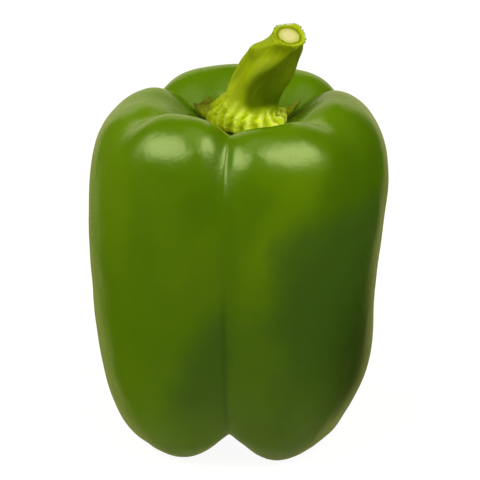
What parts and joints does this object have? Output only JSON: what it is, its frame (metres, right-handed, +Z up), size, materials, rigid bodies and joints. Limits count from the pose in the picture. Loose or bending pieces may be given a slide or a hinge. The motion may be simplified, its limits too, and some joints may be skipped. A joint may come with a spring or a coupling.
{
  "type": "green bell pepper",
  "caption": "Whole green bell pepper standing on its rounded lobes, with a leaning cut stem and ribbed calyx seated in the dimple on top.",
  "frame": {"origin": "on the surface the pepper stands on, under the middle of its plan", "axes": "+Z up along the core of the fruit, towards the stem; -Y towards the side seen in the picture; +X to the right there, which is the side the stem leans to"},
  "size_m": [0.0798, 0.0791, 0.1153],
  "materials": {
    "pepper_skin": "smooth waxy skin, glossy, deep green with paler yellow-green shoulders",
    "stem_skin": "fleshy yellow-green stem and ribbed calyx, satin, with a cream pith at the cut"
  },
  "bodies": {
    "root": {"fruit": "pepper_skin", "stem": "stem_skin"}
  },
  "joints": []
}
